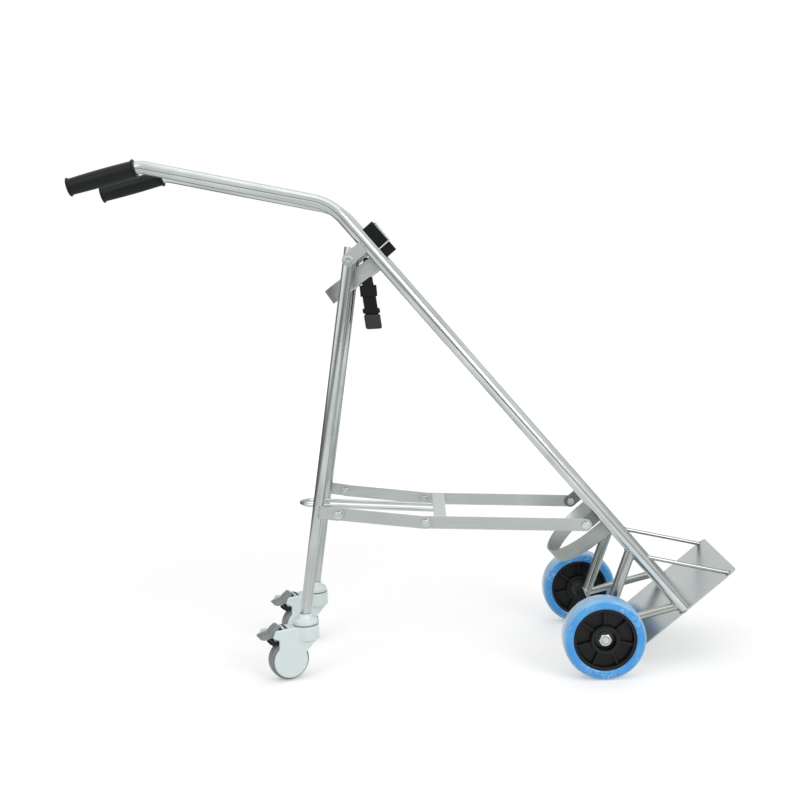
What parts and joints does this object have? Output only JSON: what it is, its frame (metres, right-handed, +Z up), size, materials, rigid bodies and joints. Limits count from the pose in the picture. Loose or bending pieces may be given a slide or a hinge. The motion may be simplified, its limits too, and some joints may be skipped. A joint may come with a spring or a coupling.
{
  "type": "oxygen cylinder trolley",
  "caption": "Folding steel trolley for one gas cylinder: two bent rails with hand grips, hoop saddles, toe plate, big wheels, hinged legs on braked casters and folding stays",
  "frame": {"origin": "On the floor, under the middle of the box round the whole trolley", "axes": "X forward from the hand grips to the toe plate, Y to the left-hand side, Z up"},
  "size_m": [1.2726, 0.414, 1.0286],
  "materials": {
    "satin_steel": "satin",
    "bright_plate": "satin",
    "bright_zinc": "gloss",
    "black_rubber": "matte",
    "blue_tyre": "satin",
    "black_plastic": "satin",
    "white_plastic": "satin",
    "grey_tyre": "satin",
    "grey_plastic": "satin",
    "black_webbing": "matte"
  },
  "bodies": {
    "frame": {"right_rail": "satin_steel", "left_rail": "satin_steel", "right_grip": "black_rubber", "left_grip": "black_rubber", "right_toe_rod": "satin_steel", "left_toe_rod": "satin_steel", "right_axle_upright": "satin_steel", "left_axle_upright": "satin_steel", "right_axle_brace": "satin_steel", "left_axle_brace": "satin_steel", "right_hinge_plate": "bright_plate", "left_hinge_plate": "bright_plate", "right_stay_tab": "bright_plate", "left_stay_tab": "bright_plate", "upper_saddle": "bright_plate", "lower_saddle": "bright_plate", "toe_plate": "bright_plate", "axle_tube": "satin_steel", "axle_rod": "bright_zinc", "axle_nuts": "bright_zinc", "frame_bolts": "bright_zinc", "strap_belt": "black_webbing", "strap_tail": "black_webbing", "strap_keepers": "black_plastic", "strap_ring": "bright_zinc", "strap_rivet": "bright_zinc"},
    "leg_frame": {"right_leg": "satin_steel", "left_leg": "satin_steel", "right_leg_plug": "bright_zinc", "left_leg_plug": "bright_zinc", "right_leg_tab": "bright_plate", "left_leg_tab": "bright_plate", "leg_bolts": "bright_zinc", "caster_collars": "white_plastic"},
    "long_stay": {"right_long_link": "bright_plate", "left_long_link": "bright_plate", "stay_cross_plate": "bright_plate", "pull_loop": "satin_steel", "knee_nuts": "bright_zinc"},
    "short_stay": {"right_short_link": "bright_plate", "left_short_link": "bright_plate", "knee_bolts": "bright_zinc"},
    "right_wheel": {"right_tyre": "blue_tyre", "right_wheel_core": "black_plastic", "right_wheel_bearings": "bright_zinc"},
    "right_caster": {"right_caster_housing": "white_plastic", "right_caster_axle": "bright_zinc"},
    "right_caster_wheel": {"right_caster_tyre": "grey_tyre", "right_caster_core": "white_plastic"},
    "right_brake": {"right_brake_pedal": "grey_plastic", "right_brake_block": "black_plastic"},
    "left_wheel": {"left_tyre": "blue_tyre", "left_wheel_core": "black_plastic", "left_wheel_bearings": "bright_zinc"},
    "left_caster": {"left_caster_housing": "white_plastic", "left_caster_axle": "bright_zinc"},
    "left_caster_wheel": {"left_caster_tyre": "grey_tyre", "left_caster_core": "white_plastic"},
    "left_brake": {"left_brake_pedal": "grey_plastic", "left_brake_block": "black_plastic"}
  },
  "joints": [
    {"name": "leg_fold", "type": "hinge", "parent": "frame", "child": "leg_frame", "pos_m": [-0.10122, 0, 0.82183], "axis": [0, -1, 0], "range_deg": [0, 27]},
    {"name": "long_stay_turn", "type": "hinge", "parent": "frame", "child": "long_stay", "pos_m": [0.34378, 0, 0.28728], "axis": [0, 1, 0], "range_deg": [0, 46.18]},
    {"name": "short_stay_turn", "type": "hinge", "parent": "leg_frame", "child": "short_stay", "pos_m": [-0.14219, 0, 0.32637], "axis": [0, -1, 0], "range_deg": [0, 53.74]},
    {"name": "right_wheel_spin", "type": "hinge", "parent": "frame", "child": "right_wheel", "pos_m": [0.36573, -0.182, 0.08], "axis": [0, 1, 0], "continuous": true},
    {"name": "right_caster_swivel", "type": "hinge", "parent": "leg_frame", "child": "right_caster", "pos_m": [-0.21774, -0.117, 0.105], "axis": [0, 0, 1], "continuous": true},
    {"name": "right_caster_spin", "type": "hinge", "parent": "right_caster", "child": "right_caster_wheel", "pos_m": [-0.25245, -0.13246, 0.04], "axis": [-0.4067, 0.9135, 0], "continuous": true},
    {"name": "right_brake_press", "type": "hinge", "parent": "right_caster", "child": "right_brake", "pos_m": [-0.2762, -0.14303, 0.097], "axis": [0.4067, -0.9135, 0], "range_deg": [0, 17]},
    {"name": "left_wheel_spin", "type": "hinge", "parent": "frame", "child": "left_wheel", "pos_m": [0.36573, 0.182, 0.08], "axis": [0, 1, 0], "continuous": true},
    {"name": "left_caster_swivel", "type": "hinge", "parent": "leg_frame", "child": "left_caster", "pos_m": [-0.21774, 0.117, 0.105], "axis": [0, 0, 1], "continuous": true},
    {"name": "left_caster_spin", "type": "hinge", "parent": "left_caster", "child": "left_caster_wheel", "pos_m": [-0.25245, 0.10154, 0.04], "axis": [-0.4067, 0.9135, 0], "continuous": true},
    {"name": "left_brake_press", "type": "hinge", "parent": "left_caster", "child": "left_brake", "pos_m": [-0.2762, 0.09097, 0.097], "axis": [0.4067, -0.9135, 0], "range_deg": [0, 17]}
  ],
  "couplings": [
    {"joint": "long_stay_turn", "follows": "leg_fold", "ratio": 1.7103},
    {"joint": "short_stay_turn", "follows": "leg_fold", "ratio": 1.9904}
  ]
}
